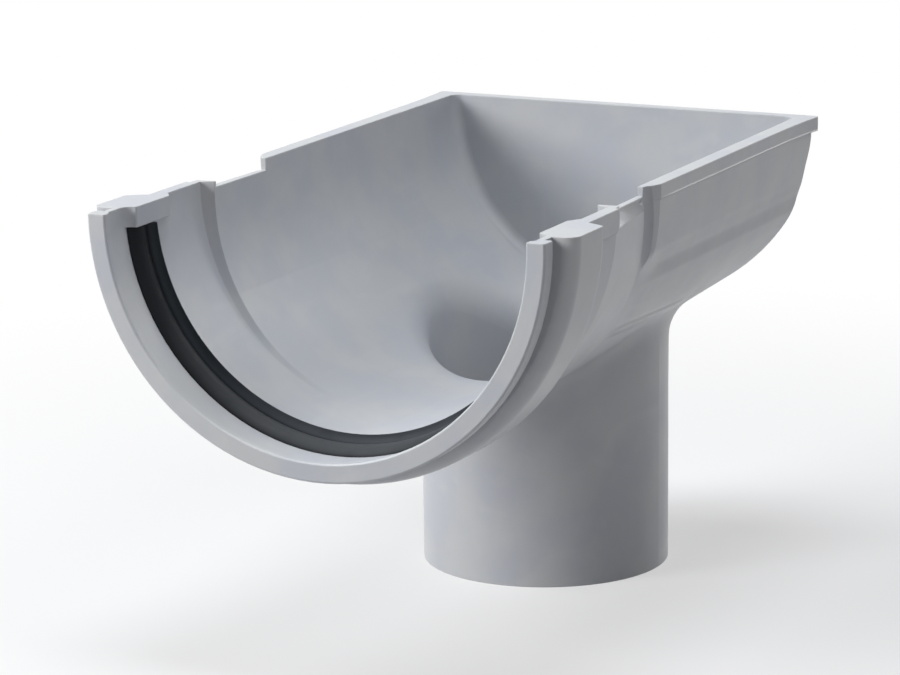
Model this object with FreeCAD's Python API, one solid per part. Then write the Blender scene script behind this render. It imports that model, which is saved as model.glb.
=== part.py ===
import FreeCAD, Part
import math
import os

# Gutter stop end outlet for a half round gutter: an open socket with a rubber seal takes the
# end of the gutter, a hopper with a closed end catches the water, and a round spigot below
# leads it into a downpipe. The body is one thin walled moulding, the seal is a strip of rubber.

# Sizes in millimetres. The gutter runs along Y. While it is drawn, the mouth is at Y = 0 and the
# centre of the gutter's half circle is on the line X = 0, Z = 0. The last step moves the origin
# to the middle of the spigot's lower end. Depths count down from the centre line.

# What the outlet fits
seat_radius = 63.4              # round seat for a 125 mm gutter
spigot_radius = 37.5            # goes into a 75 mm downpipe

# Walls
wall = 2.5                      # of the trough and the hopper
top_wall = 2.0                  # of the trough's thinned upper edge
spigot_wall = 2.4

# Socket, inside, counted from the seat
seat_length = 53.2              # from the mouth to the shoulder that stops the gutter
shoulder_step = 3.9             # the trough behind is narrower by this on each side
shoulder_length = 1.6
lip_step = 0.2                  # the mouth stands this much further in than the seat
lip_length = 2.4
lip_chamfer = 0.4
lip_slope = 1.6                 # length of the slope from the lip down to the recess
recess_depth = 0.9              # between the lip and the seal
groove_start = 12.8             # seal groove, from the mouth
groove_width = 10.8
groove_depth = 6.1              # below the recess

# Socket, outside
flange_width = 5.5              # from the lip to its outer edge
flange_length = 5.3
flange_edge = 0.5               # its outer edges are broken by this
neck_depth = 2.4                # groove behind the flange
neck_length = 4.2
housing_wall = 2.7              # band that holds the seal groove
housing_rise = 1.2              # its circle is centred this much above the gutter's
housing_nose_radius = 4.0
housing_cover = 4.2             # how far it goes on behind the groove
housing_back_slope = 4.6
housing_back_radius = 1.5
pad_width = 3.9                 # thick upper edge behind the band
pad_gap = 1.4                   # it ends this much in front of the shoulder
pad_height = 4.2
pad_corner_radius = 2.5         # its lower back corner

# Hopper, inside
hopper_start = 84.0             # from the mouth
hopper_step = 0.7               # narrower than the trough by this on each side
end_from_mouth = 211.4          # outer face of the end wall
end_step = 0.6                  # narrower still at the end wall
end_rise = 5.5                  # the floor rises by this to the end wall
inner_corner_radius = 3.5       # between the end wall and the trough, inside
outer_corner_radius = 1.2

# Hopper sides: a thick band under the rim, a soft valley below it, then the round belly of the
# trough. The band's face and the valley lie further in than its top by these steps.
cheek_wall = 4.1                # thickness under the rim
cheek_front = 6.5               # length of the slanted face in front of the band
notch_radius = 3.0              # upright notch where that face starts, deepest at the top
notch_depth = 0.9               # into the wall at the upper edge
notch_low = 22.0                # depth where it has run out
notch_low_step = 1.5            # it leans in by this down to there
notch_shift = 0.3               # its middle, behind the start of the slanted face
notch_low_shift = 2.0
band_middle = 13.9              # depth half way down the band
band_middle_step = 1.0
band_middle_end_step = 2.0      # the same at the end wall
band_low = 18.7                 # depth where the band turns in to the valley
band_low_step = 2.3
band_low_end_step = 3.1
valley_top = 22.6
valley_top_step = 4.4
valley_low = 25.4
valley_low_step = 5.2
belly_start = 24.0              # the belly's round bottom is drawn from this depth
belly_join = 32.0               # and shows below this one
belly_step = 0.3                # the belly is narrower at the end wall by this
belly_drop = 2.6                # and its round starts this much lower there

# Rim of the hopper
rim_top = 2.1
rim_height = 4.3
rim_overhang = 0.3              # beyond the band below it
rim_overhang_back = 1.7         # beyond the end wall
rim_ear = 1.3                   # each back corner reaches out sideways by this
rim_ear_length = 30.0
rim_corner_radius = 1.2

# Upper edges. The gutter's edge on the wall side stands a little higher than its front edge.
socket_top = 1.2
trough_top = -0.95              # this part leans half as much as the socket
edge_step = 2.3                 # from the shoulder's front to where the upper edge drops
rebate_height = 3.2             # the edge behind that place slants outwards down to this
wall_side_rise = 2.3            # across the flange

# Tabs that close the seal groove at both ends
tab_step = 2.5                  # they stand this much further in than the seat
tab_lead = 0.4                  # behind the groove's front
tab_flare = 3.7                 # length of the curve that leads in to them
tab_front_round = 0.7
tab_reach = 7.9                 # behind the groove
tab_ramp = 3.5
tab_height = 6.8
tab_root = 0.5                  # reaches into the walls behind it by this

# Spigot
spigot_drop = 128.0             # lower end below the centre line
outlet_from_mouth = 150.3       # spigot axis
blend_radius = 13.0             # outside, where the spigot meets the trough
spigot_draft = 0.4              # the spigot widens by this above its straight part
draft_gap = 1.1                 # from the straight part to the blend above it

# Seal. Its crests are counted inwards from the recess.
seal_clearance = 0.2
seal_pad_height = 2.2
seal_pad_rise = 2.6             # length of its curved front
seal_pad_length = 6.3
seal_pad_round = 0.4
seal_valley_start = 8.3
seal_valley_height = 1.3
seal_lip_height = 4.1           # the gutter presses on this lip
seal_lip_width = 0.9
seal_lip_round = 0.8

# Construction
buried = 0.3                    # blocks that start in a wall start this far inside it
above = 12.0                    # what is trimmed later reaches up to here
far = 100.0

# Radii and half widths that follow from the steps
lip_radius = seat_radius - lip_step
recess_radius = seat_radius + recess_depth
groove_radius = recess_radius + groove_depth
groove_end = groove_start + groove_width
flange_radius = lip_radius + flange_width
neck_radius = flange_radius - neck_depth
neck_end = flange_length + neck_length
housing_radius = groove_radius + housing_wall
housing_end = groove_end + housing_cover
trough_start = seat_length + shoulder_length
trough_half_width = seat_radius - shoulder_step
hopper_half_width = trough_half_width - hopper_step
end_half_width = hopper_half_width - end_step
end_inner = end_from_mouth - wall
end_depth = seat_radius - end_rise
cheek_half_width = hopper_half_width + cheek_wall
rim_half_width = cheek_half_width + rim_overhang
drop_start = seat_length + edge_step
tilt = math.degrees(math.atan2(wall_side_rise, 2 * flange_radius))

# The belly's wall has the usual thickness where its round bottom starts.
hopper_arc_centre = seat_radius - hopper_half_width
belly_half_width = wall + math.sqrt(hopper_half_width ** 2 - (belly_start - hopper_arc_centre) ** 2)

# Straight part of the spigot, the length that the downpipe can take
spigot_straight = spigot_drop - seat_radius - wall - blend_radius - draft_gap


def point(x, y, z):
    return FreeCAD.Vector(x, y, z)


def line(start, end):
    return Part.makeLine(start, end)


def arc(start, middle, end):
    return Part.Arc(start, middle, end).toShape()


def polygon_face(points):
    return Part.Face(Part.makePolygon(points + [points[0]]))


def revolved(profile):
    """Solid of revolution about the gutter's centre line from (y, radius) points."""
    face = polygon_face([point(0, y, radius) for y, radius in profile])
    return face.revolve(point(0, 0, 0), point(0, 1, 0), 360)


def round_edges(shape, y, radius):
    """Full circles of a turned solid at one place along its axis."""
    small = 0.01
    return [edge for edge in shape.Edges
            if abs(edge.CenterOfMass.y - y) < small
            and abs(edge.Length - 2 * math.pi * radius) < small]


def round_bottom(half_width, start, depth):
    """Radius and centre's depth of the round bottom, from where it starts and how deep it is."""
    radius = (half_width ** 2 + (depth - start) ** 2) / (2 * (depth - start))
    return radius, depth - radius


def on_bottom(y, radius, centre, turn):
    return point(radius * math.sin(turn), y, -centre - radius * math.cos(turn))


def bottom_arcs(y, radius, centre, turns):
    """Arcs of the round bottom from each turn to the next, counted from its lowest point."""
    return [arc(on_bottom(y, radius, centre, a), on_bottom(y, radius, centre, (a + b) / 2),
                on_bottom(y, radius, centre, b)) for a, b in zip(turns, turns[1:])]


def closed(edges):
    """Wire through the edges, closed by a line across the top."""
    start = edges[0].Vertexes[0].Point
    end = edges[-1].Vertexes[-1].Point
    return Part.Wire(edges + [line(end, start)])


def channel_section(y, half_width, depth):
    """Upright sides and a round bottom, which starts where it meets the sides smoothly."""
    start = depth - half_width
    radius, centre = round_bottom(half_width, start, depth)
    join = math.acos((belly_join - centre) / radius)
    first = math.radians(90)
    sides = [line(point(half_width, y, above), point(half_width, y, -start)),
             line(point(-half_width, y, -start), point(-half_width, y, above))]
    arcs = bottom_arcs(y, radius, centre, [first, join, join / 2, 0, -join / 2, -join, -first])
    return closed([sides[0]] + arcs + [sides[1]])


def hopper_section(y, half_width, start, depth, middle_step, low_step):
    """Band under the rim, valley and belly as one smooth line on each side."""
    radius, centre = round_bottom(half_width, start, depth)
    join = math.acos((belly_join - centre) / radius)
    band_top = rim_height - rim_top
    steps = [(0, band_top), (middle_step, band_middle), (low_step, band_low),
             (valley_top_step, valley_top), (valley_low_step, valley_low)]
    places = [(cheek_half_width - step, y, -down) for step, down in steps]
    places.append((radius * math.sin(join), y, -belly_join))
    right = Part.BSplineCurve()
    right.interpolate(Points=[point(*place) for place in places],
                      InitialTangent=point(0, 0, -1),
                      FinalTangent=point(-math.cos(join), 0, -math.sin(join)))
    left = Part.BSplineCurve()
    left.interpolate(Points=[point(-x, y, z) for x, y, z in reversed(places)],
                     InitialTangent=point(-math.cos(join), 0, math.sin(join)),
                     FinalTangent=point(0, 0, 1))
    sides = [line(point(cheek_half_width, y, above), point(cheek_half_width, y, -band_top)),
             line(point(-cheek_half_width, y, -band_top), point(-cheek_half_width, y, above))]
    arcs = bottom_arcs(y, radius, centre, [join, join / 2, 0, -join / 2, -join])
    return closed([sides[0], right.toShape()] + arcs + [left.toShape(), sides[1]])


def slab_above(height, y_start, y_end, angle):
    """Block that takes away what stands above a level, which may rise towards +X."""
    block = Part.makeBox(2 * far, y_end - y_start, far, point(-far, y_start, 0))
    block.rotate(point(0, 0, 0), point(0, 1, 0), -angle)
    block.translate(point(0, 0, height))
    return block


def spigot_pipe(radius):
    """Straight for the length of the downpipe's socket, then very slightly wider."""
    bottom = -spigot_drop
    profile = [(0, bottom), (radius, bottom), (radius, bottom + spigot_straight),
               (radius + spigot_draft, 0), (0, 0)]
    face = polygon_face([point(x, outlet_from_mouth, z) for x, z in profile])
    return face.revolve(point(0, outlet_from_mouth, 0), point(0, 0, 1), 360)


def edges_round_spigot(shape, radius):
    """Edges that go round the spigot above its straight part, where it runs into the trough."""
    small = 0.05
    found = []
    for edge in shape.Edges:
        length = edge.LastParameter - edge.FirstParameter
        spots = [edge.valueAt(edge.FirstParameter + share * length) for share in (0.1, 0.35, 0.6, 0.85)]
        reach = [math.hypot(p.x, p.y - outlet_from_mouth) for p in spots]
        on_pipe = all(radius - small < r < radius + spigot_draft + small for r in reach)
        high = all(-spigot_drop + spigot_straight + small < p.z < -small for p in spots)
        across = math.hypot(spots[0].x - spots[2].x, spots[0].y - spots[2].y)
        if on_pipe and high and across > wall:
            found.append(edge)
    return found


def edges_at_end_wall(shape, y):
    small = 0.01
    return [edge for edge in shape.Edges
            if all(abs(vertex.Y - y) < small for vertex in edge.Vertexes)
            and edge.CenterOfMass.z < above - small]


def run_with_spigot(sections, corner, radius, blend):
    """Trough, hopper and spigot as one solid; used for the outside and again for the inside."""
    run = Part.makeLoft(sections, True, True)
    end = max(edge.CenterOfMass.y for edge in run.Edges)
    run = run.makeFillet(corner, edges_at_end_wall(run, end))
    joined = run.fuse(spigot_pipe(radius)).removeSplitter()
    return joined.makeFillet(blend, edges_round_spigot(joined, radius))


def body_outside():
    sections = [
        channel_section(groove_end, seat_radius + wall, seat_radius + wall),
        channel_section(seat_length, seat_radius + wall, seat_radius + wall),
        channel_section(hopper_start, hopper_half_width + wall, seat_radius + wall),
        hopper_section(hopper_start + cheek_front, belly_half_width, belly_start, seat_radius + wall,
                       band_middle_step, band_low_step),
        hopper_section(end_from_mouth, belly_half_width - belly_step, belly_start + belly_drop,
                       end_depth + wall, band_middle_end_step, band_low_end_step),
    ]
    return run_with_spigot(sections, outer_corner_radius, spigot_radius, blend_radius)


def body_inside():
    sections = [
        channel_section(seat_length, seat_radius, seat_radius),
        channel_section(trough_start, trough_half_width, seat_radius),
        channel_section(hopper_start, hopper_half_width, seat_radius),
        channel_section(end_inner, end_half_width, end_depth),
    ]
    return run_with_spigot(sections, inner_corner_radius, spigot_radius - spigot_wall, blend_radius + wall)


def socket_outside():
    """Flange at the mouth, a small groove behind it, and the band round the seal."""
    flange = revolved([
        (0, 0),
        (0, flange_radius),
        (flange_length, flange_radius),
        (flange_length, neck_radius),
        (neck_end + housing_nose_radius, neck_radius),
        (neck_end + housing_nose_radius, 0),
    ])
    flange = flange.makeChamfer(flange_edge, round_edges(flange, 0, flange_radius)
                                + round_edges(flange, flange_length, flange_radius))
    back_end = housing_end + housing_back_slope
    housing = revolved([
        (neck_end, 0),
        (neck_end, housing_radius),
        (housing_end, housing_radius),
        (back_end, seat_radius + wall - housing_rise),
        (back_end, 0),
    ])
    housing = housing.makeFillet(housing_nose_radius, round_edges(housing, neck_end, housing_radius))
    housing = housing.makeFillet(housing_back_radius, round_edges(housing, housing_end, housing_radius))
    housing.translate(point(0, 0, housing_rise))
    return flange.fuse(housing)


def socket_inside():
    before = -flange_length     # the cut starts in front of the mouth
    return revolved([
        (before, 0),
        (before, lip_radius + lip_chamfer),
        (0, lip_radius + lip_chamfer),
        (lip_chamfer, lip_radius),
        (lip_length, lip_radius),
        (lip_length + lip_slope, recess_radius),
        (groove_start, recess_radius),
        (groove_start, groove_radius),
        (groove_end, groove_radius),
        (groove_end, seat_radius),
        (seat_length, seat_radius),
        (seat_length, 0),
    ])


def strip_face(x, start, end, low):
    """Side view of a strip along the upper edge, with its lower back corner rounded."""
    corner = pad_corner_radius
    turn = corner * (1 - math.sqrt(0.5))
    return Part.Face(Part.Wire([
        line(point(x, start, above), point(x, start, low)),
        line(point(x, start, low), point(x, end - corner, low)),
        arc(point(x, end - corner, low), point(x, end - turn, low + turn), point(x, end, low + corner)),
        line(point(x, end, low + corner), point(x, end, above)),
        line(point(x, end, above), point(x, start, above)),
    ]))


def socket_pads():
    """Thicker strip along the upper edge behind the band, on both sides."""
    half_width = seat_radius + pad_width
    face = strip_face(-half_width, housing_end, seat_length - pad_gap, -pad_height)
    return face.extrude(point(2 * half_width, 0, 0))


def hopper_rim():
    """Bead round the hopper's upper edge, which flares a little towards its back corners."""
    back = end_from_mouth + rim_overhang_back
    flare = back - rim_ear_length
    low = rim_top - rim_height

    def side(sign):
        return [point(sign * (hopper_half_width + wall - buried), hopper_start, low),
                point(sign * rim_half_width, hopper_start + cheek_front, low),
                point(sign * rim_half_width, flare, low),
                point(sign * (rim_half_width + rim_ear / 4), (flare + back) / 2, low),
                point(sign * (rim_half_width + rim_ear), back, low)]

    right = side(1)
    left = side(-1)
    outline = Part.Wire([
        line(left[0], right[0]),
        line(right[0], right[1]),
        line(right[1], right[2]),
        arc(right[2], right[3], right[4]),
        line(right[4], left[4]),
        arc(left[4], left[3], left[2]),
        line(left[2], left[1]),
        line(left[1], left[0]),
    ])
    bead = Part.Face(outline).extrude(point(0, 0, rim_height))
    small = 0.01
    corners = [edge for edge in bead.Edges
               if all(abs(vertex.Y - back) < small for vertex in edge.Vertexes)
               and abs(edge.Vertexes[0].X - edge.Vertexes[-1].X) < small]
    return bead.makeFillet(rim_corner_radius, corners)


def tab(side):
    """Closes one end of the seal groove and stands a little further in than the seat."""
    low = socket_top - tab_height
    start = groove_start + tab_lead
    inner = seat_radius - tab_step
    end = groove_end + tab_reach
    turn = 1 - math.sqrt(0.5)

    def corner(x, y):
        return point(side * x, y, low)

    # The front curves in from the recess and ends in a small round nose.
    nose_x = inner + tab_front_round
    flare_start = start - tab_flare
    flare = arc(corner(recess_radius, flare_start),
                corner(recess_radius - (recess_radius - nose_x) * turn, start - tab_flare * turn),
                corner(nose_x, start))
    nose = arc(corner(nose_x, start),
               corner(inner + tab_front_round * turn, start + tab_front_round * turn),
               corner(inner, start + tab_front_round))
    rest = [
        corner(inner, start + tab_front_round),
        corner(inner, end),
        corner(seat_radius, end + tab_ramp),
        corner(seat_radius + tab_root, end + tab_ramp),
        corner(seat_radius + tab_root, groove_end),
        corner(groove_radius + tab_root, groove_end),
        corner(groove_radius + tab_root, groove_start),
        corner(recess_radius + tab_root, groove_start),
        corner(recess_radius + tab_root, flare_start),
        corner(recess_radius, flare_start),
    ]
    lines = [line(*ends) for ends in zip(rest, rest[1:])]
    return Part.Face(Part.Wire([flare, nose] + lines)).extrude(point(0, 0, above))


def edge_rebate(side):
    """Thins the trough's upper edge between the pad and the hopper. The cut slants outwards
    and meets the outer wall at the same height all along."""
    low = trough_top - rebate_height
    share = edge_step / (hopper_start - seat_length)
    outer_start = seat_radius + wall - share * (seat_radius - hopper_half_width)
    ends = [(drop_start, trough_half_width, outer_start),
            (hopper_start, hopper_half_width, hopper_half_width + wall)]
    wires = []
    for y, inner, outer in ends:
        corners = [(inner + top_wall, above), (inner + top_wall, trough_top), (outer, low),
                   (far, low), (far, above)]
        wires.append(Part.makePolygon([point(side * x, y, z) for x, z in corners + corners[:1]]))
    return Part.makeLoft(wires, True, True)


def cheek_notch(side):
    """Round notch in front of the thick band, which leans in and runs out below."""
    edge = hopper_half_width + wall - notch_depth + notch_radius
    top = point(side * edge, hopper_start + notch_shift, 0)
    low = point(side * (edge - notch_low_step), hopper_start + notch_low_shift, -notch_low)
    along = low.sub(top)
    reach = above / notch_low
    start = top.sub(along * reach)
    return Part.makeCylinder(notch_radius, along.Length * (1 + reach) + wall, start, along)


def outlet_body():
    outside = body_outside().fuse([socket_outside(), socket_pads(), hopper_rim()])
    solid = outside.cut([body_inside(), socket_inside()])
    solid = solid.fuse([tab(1), tab(-1)])
    solid = solid.cut([
        slab_above(socket_top, -flange_length, drop_start, tilt),
        slab_above(trough_top, drop_start, hopper_start, tilt / 2),
        slab_above(rim_top, hopper_start, end_from_mouth + far, 0),
        edge_rebate(1),
        edge_rebate(-1),
        cheek_notch(1),
        cheek_notch(-1),
    ])
    return solid.removeSplitter()


def gutter_seal():
    """Rubber strip in the groove: a low front pad, a valley and a higher lip at the back."""
    front = groove_start + seal_clearance
    back = groove_end - seal_clearance
    base = groove_radius - seal_clearance
    pad_radius = recess_radius - seal_pad_height
    valley_radius = recess_radius - seal_valley_height
    lip_crest = recess_radius - seal_lip_height
    pad_back = front + seal_pad_length
    valley = front + seal_valley_start
    lip = back - seal_lip_width

    def at(y, radius):
        return point(0, y, radius)

    section = Part.Wire([
        line(at(front, base), at(front, recess_radius)),
        arc(at(front, recess_radius),
            at(front + seal_pad_rise, pad_radius + seal_pad_round * 0.75),
            at(pad_back, pad_radius)),
        arc(at(pad_back, pad_radius),
            at((pad_back + valley) / 2, pad_radius + seal_pad_round),
            at(valley, valley_radius)),
        arc(at(valley, valley_radius),
            at((valley + lip) / 2, valley_radius - seal_lip_round),
            at(lip, lip_crest)),
        arc(at(lip, lip_crest),
            at(back - seal_lip_width * 0.3, lip_crest + seal_lip_round * 0.3),
            at(back, lip_crest + seal_lip_round)),
        line(at(back, lip_crest + seal_lip_round), at(back, base)),
        line(at(back, base), at(front, base)),
    ])
    ring = Part.Face(section).revolve(point(0, 0, 0), point(0, 1, 0), 360)
    return ring.cut(slab_above(socket_top - tab_height - seal_clearance, 0, seat_length, 0))


os.makedirs("parts", exist_ok=True)
for name, solid in (("outlet_body", outlet_body()), ("gutter_seal", gutter_seal())):
    solid.translate(point(0, -outlet_from_mouth, spigot_drop))
    print(name, solid.isValid(), len(solid.Solids), round(solid.Volume / 1000, 1), "cm3")
    solid.exportStep("parts/" + name + ".step")
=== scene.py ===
import math
import bpy
from mathutils import Matrix, Vector

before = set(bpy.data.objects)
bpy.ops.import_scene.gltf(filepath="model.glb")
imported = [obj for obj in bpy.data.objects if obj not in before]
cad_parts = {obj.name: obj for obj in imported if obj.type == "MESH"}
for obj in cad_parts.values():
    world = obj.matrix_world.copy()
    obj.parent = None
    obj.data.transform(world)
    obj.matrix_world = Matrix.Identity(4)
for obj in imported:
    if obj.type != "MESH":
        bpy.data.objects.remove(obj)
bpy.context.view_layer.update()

print("frame loaded:", sorted(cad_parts))


# Shader maths is written as plain expressions on sockets.
class Wire:
    def __init__(self, finish, socket):
        self.finish = finish
        self.socket = socket

    def maths(self, operation, first, second):
        return self.finish.node("ShaderNodeMath", {"operation": operation}, {0: first, 1: second})

    def __add__(self, other):
        return self.maths("ADD", self, other)

    def __sub__(self, other):
        return self.maths("SUBTRACT", self, other)

    def __rsub__(self, other):
        return self.maths("SUBTRACT", other, self)

    def __mul__(self, other):
        return self.maths("MULTIPLY", self, other)

    def absolute(self):
        return self.maths("ABSOLUTE", self, 0.0)


class Finish:
    def __init__(self, owner):
        self.owner = owner
        owner.use_nodes = True
        self.tree = owner.node_tree
        self.tree.nodes.clear()

    def node(self, kind, settings=None, sockets=None, out=0):
        new = self.tree.nodes.new(kind)
        for name, value in (settings or {}).items():
            setattr(new, name, value)
        for key, value in (sockets or {}).items():
            if isinstance(value, Wire):
                self.tree.links.new(value.socket, new.inputs[key])
            else:
                new.inputs[key].default_value = value
        return Wire(self, new.outputs[out])

    def place(self, stretch=None):
        spot = self.node("ShaderNodeTexCoord", out="Object")
        if stretch:
            spot = self.node("ShaderNodeMapping", None, {"Vector": spot, "Scale": stretch})
        return spot

    def parts(self, vector):
        split = self.node("ShaderNodeSeparateXYZ", None, {"Vector": vector})
        outputs = split.socket.node.outputs
        return [Wire(self, outputs[axis]) for axis in ("X", "Y", "Z")]

    def noise(self, scale, detail, roughness=0.5, stretch=None, twist=0.0):
        return self.node("ShaderNodeTexNoise", {"noise_dimensions": "3D"},
                         {"Vector": self.place(stretch), "Scale": scale, "Detail": detail,
                          "Roughness": roughness, "Distortion": twist}, out="Fac")

    def ramp(self, value, low, high, start=0.0, end=1.0):
        return self.node("ShaderNodeMapRange", {"interpolation_type": "SMOOTHSTEP"},
                         {"Value": value, "From Min": low, "From Max": high,
                          "To Min": start, "To Max": end})

    def blend(self, share, first, second):
        return self.node("ShaderNodeMix", {"data_type": "RGBA"},
                         {0: share, 6: first, 7: second}, out=2)

    def seen(self, rays=("Is Camera Ray", "Is Glossy Ray", "Is Transmission Ray")):
        shares = [self.node("ShaderNodeLightPath", out=ray) for ray in rays]
        while len(shares) > 1:
            shares[:2] = [self.node("ShaderNodeMath", {"operation": "MAXIMUM"},
                                    {0: shares[0], 1: shares[1]})]
        return shares[0]

    def surface(self, shader, kind="ShaderNodeOutputMaterial"):
        output = self.tree.nodes.new(kind)
        self.tree.links.new(shader.socket, output.inputs["Surface"])
        return self.owner


# Camera: the photograph's place, direction and lens.
camera = {
    "place": (0.4655, -1.0213, 0.3257),
    "turn": 25.9735,          # degrees to the left of +Y
    "down": 12.9288,
    "roll": -0.6535,
    "lens": 151.658,          # millimetres, as the sensor
    "sensor": 36.0,
    "nearest": 0.05,
    "farthest": 60.0,
}


def makeCamera():
    data = bpy.data.cameras.new("camera")
    data.lens = camera["lens"]
    data.sensor_width = camera["sensor"]
    data.clip_start = camera["nearest"]
    data.clip_end = camera["farthest"]
    item = bpy.data.objects.new("camera", data)
    bpy.context.scene.collection.objects.link(item)
    item.matrix_world = (
        Matrix.Translation(camera["place"])
        @ Matrix.Rotation(math.radians(camera["turn"]), 4, "Z")
        @ Matrix.Rotation(math.radians(90 - camera["down"]), 4, "X")
        @ Matrix.Rotation(math.radians(camera["roll"]), 4, "Z"))
    bpy.context.scene.camera = item
    print("camera placed")


# Moulding: light grey PVC with a satin skin, cloudy where the melt flowed. A pair gives the noise
# values between which a patch or streak fades in.
moulding = {
    "colour": (0.541, 0.551, 0.569, 1),
    "coolTint": (0.500, 0.516, 0.562, 1),     # in soft patches
    "cloudScale": 52,
    "cloudDetail": 3,
    "cloudEdge": (0.36, 0.64),
    "streakTint": (0.585, 0.596, 0.610, 1),   # light streaks along the run
    "streakScale": 60,
    "streakDetail": 4,
    "streakFineness": 0.55,
    "streakStretch": (1.0, 0.35, 1.0),
    "streakTwist": 1.2,
    "streakEdge": (0.5, 0.75),
    "streakShare": 0.45,
    "roughness": 0.40,
    "roughnessSpread": 0.16,
    "flowScale": 110,                         # of the change in roughness
    "flowDetail": 4,
    "flowFineness": 0.6,
    "grainScale": 1700,
    "grainDetail": 3,
    "grainHeight": 0.00004,
    "grainStrength": 0.35,
    "edgeRadius": 0.00045,                    # mould edges are never quite sharp
    "edgeSamples": 6,
    "edgeHighlightTint": (0.64, 0.645, 0.65, 1),       # painted highlight on convex edges
    "edgeReach": 0.0008,
    "edgeThinness": (0.45, 0.95),
    "edgeHighlightShare": 0.35,
    "edgeHighlightSamples": 8,
    "beadHighlightTint": (0.80, 0.81, 0.82, 1),        # painted highlight along the bead under the rim and the upper flank of the mould seam
    "seamHighlightShare": 0.4,
}

# Fine relief on the outer sides, in metres: a mould seam low on the trough, the crease of the
# valley under the thick band, and the thin bead at the rim's lower edge. Levels are above the
# spigot's lower end, and runs are along the gutter, where the end wall is at the positive end.
relief = {
    "seamHeight": 0.0011,
    "seamWidth": 0.0022,
    "seamRun": (-0.066, 0.012),
    "seamLevel": 0.0819,                      # at the spigot's axis
    "seamFall": 0.073,                        # it sinks by this share towards the end wall
    "valleyDepth": 0.0017,
    "valleyWidth": 0.0056,
    "valleyRun": (-0.064, 0.075),
    "valleyLevel": 0.1056,
    "beadHeight": 0.0002,
    "beadWidth": 0.0005,
    "beadRun": (-0.0625, 0.075),
    "beadLevel": 0.1260,
    "fade": 0.014,                            # length over which each one starts and ends
    "sideMask": (0.004, 0.02),                # leaves out what faces up, down or inwards
    "rebateSteepness": 0.65,                  # turns the slanted face of the edge more upright
    "rebateRun": (-0.100, -0.058),
    "rebateFade": 0.001,
    "rebateLevel": 0.1250,
    "rebateMask": (0.2, 0.3),                 # keeps only faces that lean upwards
}


def reliefStrips(made):
    x, y, z = made.parts(made.place())
    facing = made.parts(made.node("ShaderNodeTexCoord", out="Normal"))
    side = made.ramp(facing[0] * x, *relief["sideMask"])

    def within(name, fade):
        start, end = relief[name + "Run"]
        return made.ramp(y, start, start + fade) * made.ramp(y, end - fade, end, 1.0, 0.0)

    def strip(above, name):
        band = made.ramp(above.absolute(), 0.0, relief[name + "Width"], 1.0, 0.0)
        return band * within(name, relief["fade"])

    aboveSeam = z + y * relief["seamFall"] - relief["seamLevel"]
    seam = strip(aboveSeam, "seam") * relief["seamHeight"]
    # Painted highlight: the upper flank of the seam, which the moulding's colour lightens.
    seamHighlight = strip(aboveSeam - relief["seamWidth"] / 2, "seam") * side
    valley = strip(z - relief["valleyLevel"], "valley") * relief["valleyDepth"]
    bead = strip(z - relief["beadLevel"], "bead") * side
    slanted = made.ramp(facing[2], *relief["rebateMask"]) * within("rebate", relief["rebateFade"])
    rebate = slanted * (z - relief["rebateLevel"]) * relief["rebateSteepness"]
    height = (seam - valley + rebate) * side + bead * relief["beadHeight"]
    return height, bead, seamHighlight


def mouldingFinish():
    made = Finish(bpy.data.materials.new("moulding"))
    height, bead, seamHighlight = reliefStrips(made)
    cloud = made.ramp(made.noise(moulding["cloudScale"], moulding["cloudDetail"]),
                      *moulding["cloudEdge"])
    streak = made.ramp(made.noise(moulding["streakScale"], moulding["streakDetail"],
                                  moulding["streakFineness"], moulding["streakStretch"],
                                  moulding["streakTwist"]),
                       *moulding["streakEdge"])
    # Painted highlight: the inside ambient occlusion finds convex edges, which are blended
    # towards a lighter tint.
    inside = made.node("ShaderNodeAmbientOcclusion",
                       {"inside": True, "only_local": True, "samples": moulding["edgeHighlightSamples"]},
                       {"Distance": moulding["edgeReach"]}, out="AO")
    paintedEdgeHighlight = made.ramp(inside, *moulding["edgeThinness"], 1.0, 0.0)
    colour = made.blend(cloud, moulding["colour"], moulding["coolTint"])
    colour = made.blend(streak * moulding["streakShare"], colour, moulding["streakTint"])
    colour = made.blend(paintedEdgeHighlight * moulding["edgeHighlightShare"], colour, moulding["edgeHighlightTint"])
    # Painted highlight on the bead under the rim and on the seam's upper flank.
    colour = made.blend(seamHighlight * moulding["seamHighlightShare"] + bead, colour, moulding["beadHighlightTint"])
    flow = made.noise(moulding["flowScale"], moulding["flowDetail"], moulding["flowFineness"])
    edges = made.node("ShaderNodeBevel", {"samples": moulding["edgeSamples"]},
                      {"Radius": (1 - bead) * moulding["edgeRadius"]})
    form = made.node("ShaderNodeBump", None,
                     {"Strength": 1.0, "Distance": 1.0, "Height": height, "Normal": edges},
                     out="Normal")
    grain = made.node("ShaderNodeBump", None,
                      {"Strength": moulding["grainStrength"],
                       "Distance": moulding["grainHeight"],
                       "Height": made.noise(moulding["grainScale"], moulding["grainDetail"]),
                       "Normal": form}, out="Normal")
    shader = made.node("ShaderNodeBsdfPrincipled", None, {
        "Base Color": colour,
        "Roughness": (flow - 0.5) * moulding["roughnessSpread"] + moulding["roughness"],
        "Normal": grain,
    })
    print("moulding finished")
    return made.surface(shader)


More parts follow.
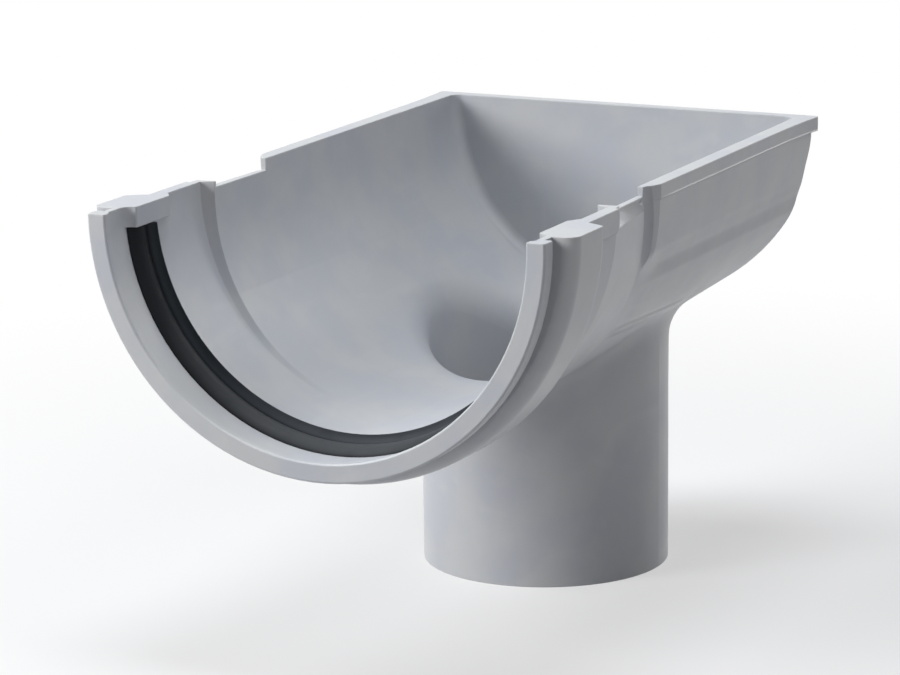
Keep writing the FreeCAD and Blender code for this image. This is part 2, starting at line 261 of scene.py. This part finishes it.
# Seal: black rubber, matt. A painted sheen lightens the faces that lean upwards, the lip at its
# back is lighter grey, and painted shade darkens the front edge and the valley in front of the
# lip.
seal = {
    "colour": (0.0055, 0.0070, 0.0095, 1),
    "bloom": (0.009, 0.011, 0.014, 1),
    "bloomScale": 130,
    "bloomDetail": 5,
    "bloomFineness": 0.6,
    "bloomEdge": (0.42, 0.68),
    "upwardSheen": (0.052, 0.056, 0.062, 1),
    "upwardSheenMask": (0.35, 1.05),                 # how far a face leans upwards
    "deep": (0.003, 0.004, 0.006, 1),
    "lipGrey": (0.040, 0.047, 0.056, 1),
    "frontLine": (-0.1373, -0.1366),          # places along the gutter, from the mouth back
    "valley": (-0.1310, -0.1298),
    "lip": (-0.1292, -0.1284),
    "gloss": 0.13,
    "roughness": 0.50,
    "roughnessSpread": 0.14,
    "grainScale": 2400,
    "grainDetail": 3,
    "grainHeight": 0.00006,
    "grainStrength": 0.5,
    "edgeRadius": 0.0003,
    "edgeSamples": 6,
}


def sealFinish():
    made = Finish(bpy.data.materials.new("seal"))
    y = made.parts(made.place())[1]
    up = made.parts(made.node("ShaderNodeTexCoord", out="Normal"))[2]
    bloom = made.ramp(made.noise(seal["bloomScale"], seal["bloomDetail"], seal["bloomFineness"]),
                      *seal["bloomEdge"])
    colour = made.blend(bloom, seal["colour"], seal["bloom"])
    # Painted sheen: lighter where a face leans upwards.
    colour = made.blend(made.ramp(up, *seal["upwardSheenMask"]), colour, seal["upwardSheen"])
    # Painted shade: darker at the seal's front edge and in the valley in front of the lip.
    colour = made.blend(made.ramp(y, *seal["frontLine"], 1.0, 0.0), colour, seal["deep"])
    colour = made.blend(made.ramp(y, *seal["valley"]), colour, seal["deep"])
    # Lighter grey along the lip at the seal's back.
    colour = made.blend(made.ramp(y, *seal["lip"]), colour, seal["lipGrey"])
    edges = made.node("ShaderNodeBevel", {"samples": seal["edgeSamples"]},
                      {"Radius": seal["edgeRadius"]})
    grain = made.node("ShaderNodeBump", None,
                      {"Strength": seal["grainStrength"],
                       "Distance": seal["grainHeight"],
                       "Height": made.noise(seal["grainScale"], seal["grainDetail"]),
                       "Normal": edges}, out="Normal")
    shader = made.node("ShaderNodeBsdfPrincipled", None, {
        "Base Color": colour,
        "Roughness": bloom * seal["roughnessSpread"] + seal["roughness"],
        "Specular IOR Level": seal["gloss"],
        "Normal": grain,
    })
    print("seal finished")
    return made.surface(shader)


def dress(name, material):
    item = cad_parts[name]
    item.data.materials.clear()
    item.data.materials.append(material)


# Studio: a pale floor that clears to white away from the part, soft lamps and a white surround
# that the lens and the reflections see. The floor throws back less light than a white one.
studio = {
    "floorSize": 24.0,
    "floorColour": (0.80, 0.80, 0.81, 1),
    "bounceColour": (0.45, 0.45, 0.46, 1),    # what the floor throws back on the part
    "white": (1, 1, 1, 1),
    "haze": 0.50,             # share of white over the floor near the part
    "clearFrom": 0.12,        # it clears fully between these distances
    "clearTo": 0.42,
    "ambientStrength": 0.05,
    "target": (0, -0.04, 0.09),
    "lampSize": 0.7,
    "lamps": [
        ("keyLamp", (-0.95, -1.2, 0.7), 17.4, (1.0, 1.0, 0.99)),
        ("topLamp", (0, -0.05, 1.7), 10.6, (0.93, 0.965, 0.99)),
        ("leftLamp", (-1.0, -0.2, 1.35), 10.4, (0.98, 1.0, 1.0)),
        ("rightLamp", (1.0, -0.1, 1.35), 3.4, (1.0, 1.0, 1.0)),
        ("backLamp", (0.35, 1.25, 0.42), 2.8, (1.0, 1.0, 1.0)),
    ],
}


def makeFloor():
    bpy.ops.object.select_all(action="DESELECT")
    bpy.ops.mesh.primitive_plane_add(size=studio["floorSize"], location=(0, 0, 0))
    floor = bpy.context.object
    floor.name = "floor"
    made = Finish(bpy.data.materials.new("floor"))
    apart = made.node("ShaderNodeVectorMath", {"operation": "LENGTH"},
                      {0: made.place()}, out="Value")
    clear = made.ramp(apart, studio["clearFrom"], studio["clearTo"], studio["haze"], 1.0)
    pale = made.node("ShaderNodeBsdfDiffuse", None, {"Color": studio["floorColour"]})
    white = made.node("ShaderNodeEmission", None, {"Color": studio["white"], "Strength": 1.0})
    shown = made.node("ShaderNodeMixShader", None, {0: clear, 1: pale, 2: white})
    bounce = made.node("ShaderNodeBsdfDiffuse", None, {"Color": studio["bounceColour"]})
    mirrored = made.node("ShaderNodeMixShader", None, {
        0: made.seen(("Is Glossy Ray", "Is Transmission Ray")), 1: bounce, 2: white})
    both = made.node("ShaderNodeMixShader", None, {
        0: made.seen(("Is Camera Ray",)), 1: mirrored, 2: shown})
    floor.data.materials.append(made.surface(both))
    print("floor laid")


def makeLamps():
    for name, place, power, colour in studio["lamps"]:
        data = bpy.data.lights.new(name, "AREA")
        data.shape = "DISK"
        data.size = studio["lampSize"]
        data.energy = power
        data.color = colour
        item = bpy.data.objects.new(name, data)
        bpy.context.scene.collection.objects.link(item)
        item.location = place
        aim = Vector(studio["target"]) - Vector(place)
        item.rotation_euler = aim.to_track_quat("-Z", "Y").to_euler()
    print("lamps hung:", len(studio["lamps"]))


def makeWorld():
    made = Finish(bpy.data.worlds.new("surround"))
    soft = made.node("ShaderNodeBackground", None,
                     {"Color": studio["white"], "Strength": studio["ambientStrength"]})
    white = made.node("ShaderNodeBackground", None, {"Color": studio["white"], "Strength": 1.0})
    both = made.node("ShaderNodeMixShader", None, {0: made.seen(), 1: soft, 2: white})
    bpy.context.scene.world = made.surface(both, "ShaderNodeOutputWorld")


makeCamera()
dress("outlet_body", mouldingFinish())
dress("gutter_seal", sealFinish())
makeFloor()
makeLamps()
makeWorld()
bpy.context.scene.view_settings.view_transform = "Standard"
print("studio ready")
